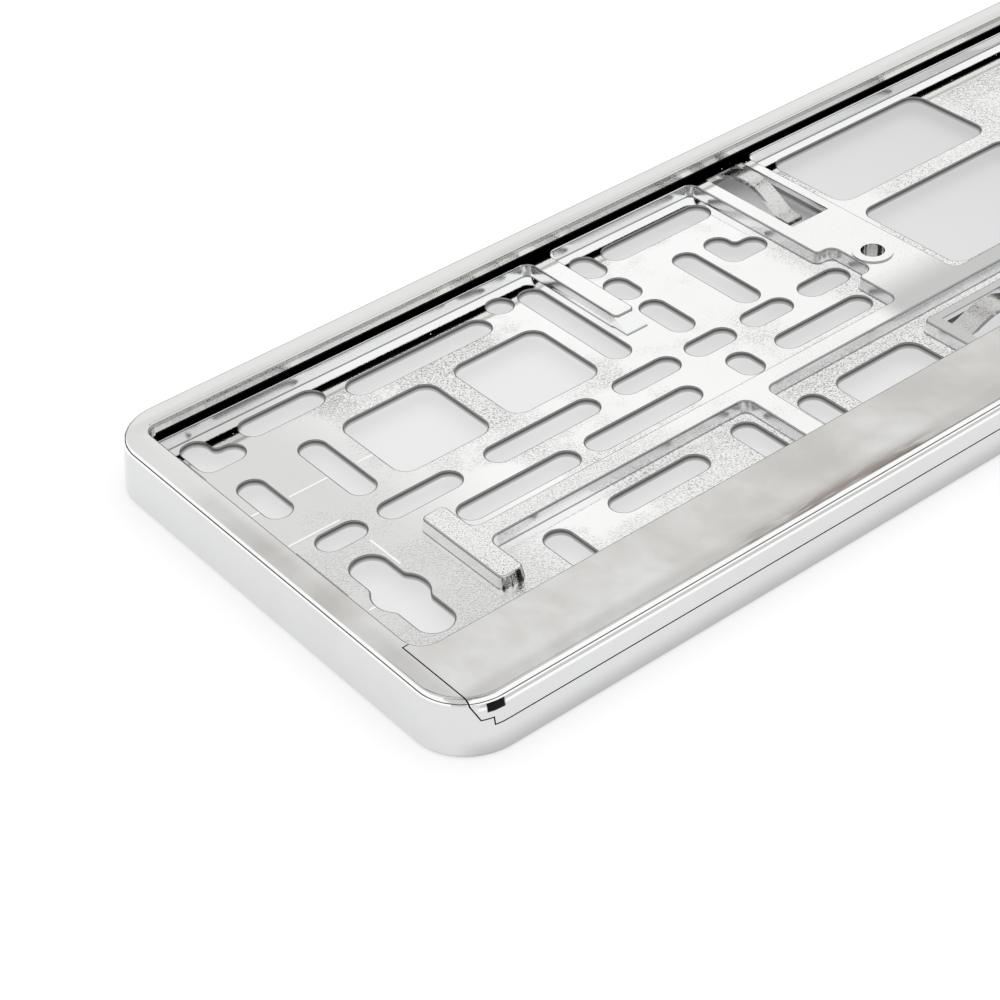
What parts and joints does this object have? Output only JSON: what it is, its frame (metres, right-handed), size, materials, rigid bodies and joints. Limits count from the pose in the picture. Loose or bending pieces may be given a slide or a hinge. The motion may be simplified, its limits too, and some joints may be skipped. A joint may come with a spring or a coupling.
{
  "type": "number plate holder",
  "caption": "Chrome number plate holder: a shallow slotted tray with a raised rim, support bars and spring tongues, and a clip-in strip along its lower side that holds the plate in.",
  "frame": {"origin": "centre of the back plane that lies against the car", "axes": "+X along the plate, +Y up the plate towards the rim without the strip, +Z out of the back towards the plate's face"},
  "size_m": [0.5338, 0.1338, 0.014],
  "materials": {
    "chrome": "bright mirror plating, grained on the floor and the bar tops"
  },
  "bodies": {
    "base": {"base_frame": "chrome"},
    "strip": {"retaining_strip": "chrome"}
  },
  "joints": [
    {"name": "strip_lift", "type": "slide", "parent": "base", "child": "strip", "axis": [0, 0, 1], "range_m": [0, 0.012]}
  ]
}
